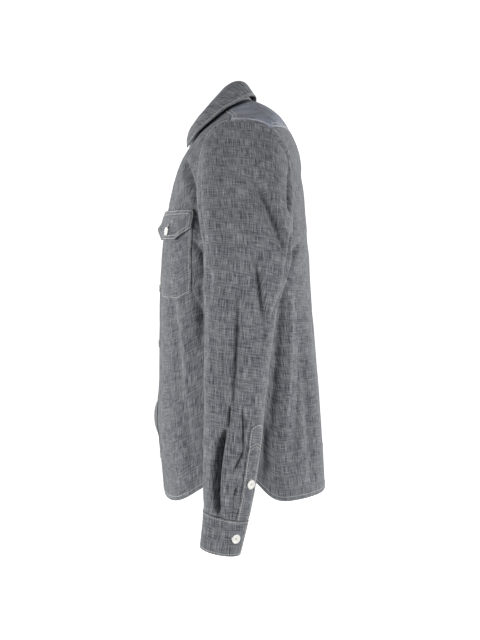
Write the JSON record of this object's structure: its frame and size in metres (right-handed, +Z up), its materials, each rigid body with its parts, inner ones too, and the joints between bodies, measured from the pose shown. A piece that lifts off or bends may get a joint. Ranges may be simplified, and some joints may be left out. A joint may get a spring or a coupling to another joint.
{
  "type": "shirt jacket",
  "caption": "Chambray shirt jacket filled out as worn: turned-down collar, yoke, buttoned front with band, flap pocket, long sleeves with plackets and buttoned cuffs, shirt-tail hem.",
  "frame": {"origin": "midway between the shoulders, level with the back of the neck seam, where the wearer's shoulders and neck hold the shirt", "axes": "+Z up, -Y out of the front of the shirt, +X to the wearer's left"},
  "size_m": [0.6145, 0.3058, 0.7828],
  "materials": {
    "chambray": "matt slubby chambray, indigo-grey warp with a white weft",
    "cross_chambray": "the same chambray cut across the grain, a little bluer",
    "button": "off-white, softly shiny"
  },
  "bodies": {
    "root": {"yoke": "cross_chambray", "back": "chambray", "front_left": "chambray", "front_right": "chambray", "placket_left": "chambray", "collar_stand": "chambray", "collar_leaf": "chambray", "pocket_left": "chambray", "flap_left": "chambray", "sleeve_left": "chambray", "sleeve_right": "chambray", "cuff_left": "chambray", "cuff_right": "chambray", "gauntlet_left": "chambray", "gauntlet_right": "chambray", "button_stand": "button", "button_front_1": "button", "button_front_2": "button", "button_front_3": "button", "button_front_4": "button", "button_front_5": "button", "button_front_6": "button", "button_flap": "button", "button_gauntlet_left": "button", "button_gauntlet_right": "button", "button_cuff_left": "button", "button_cuff_right": "button"}
  },
  "joints": []
}
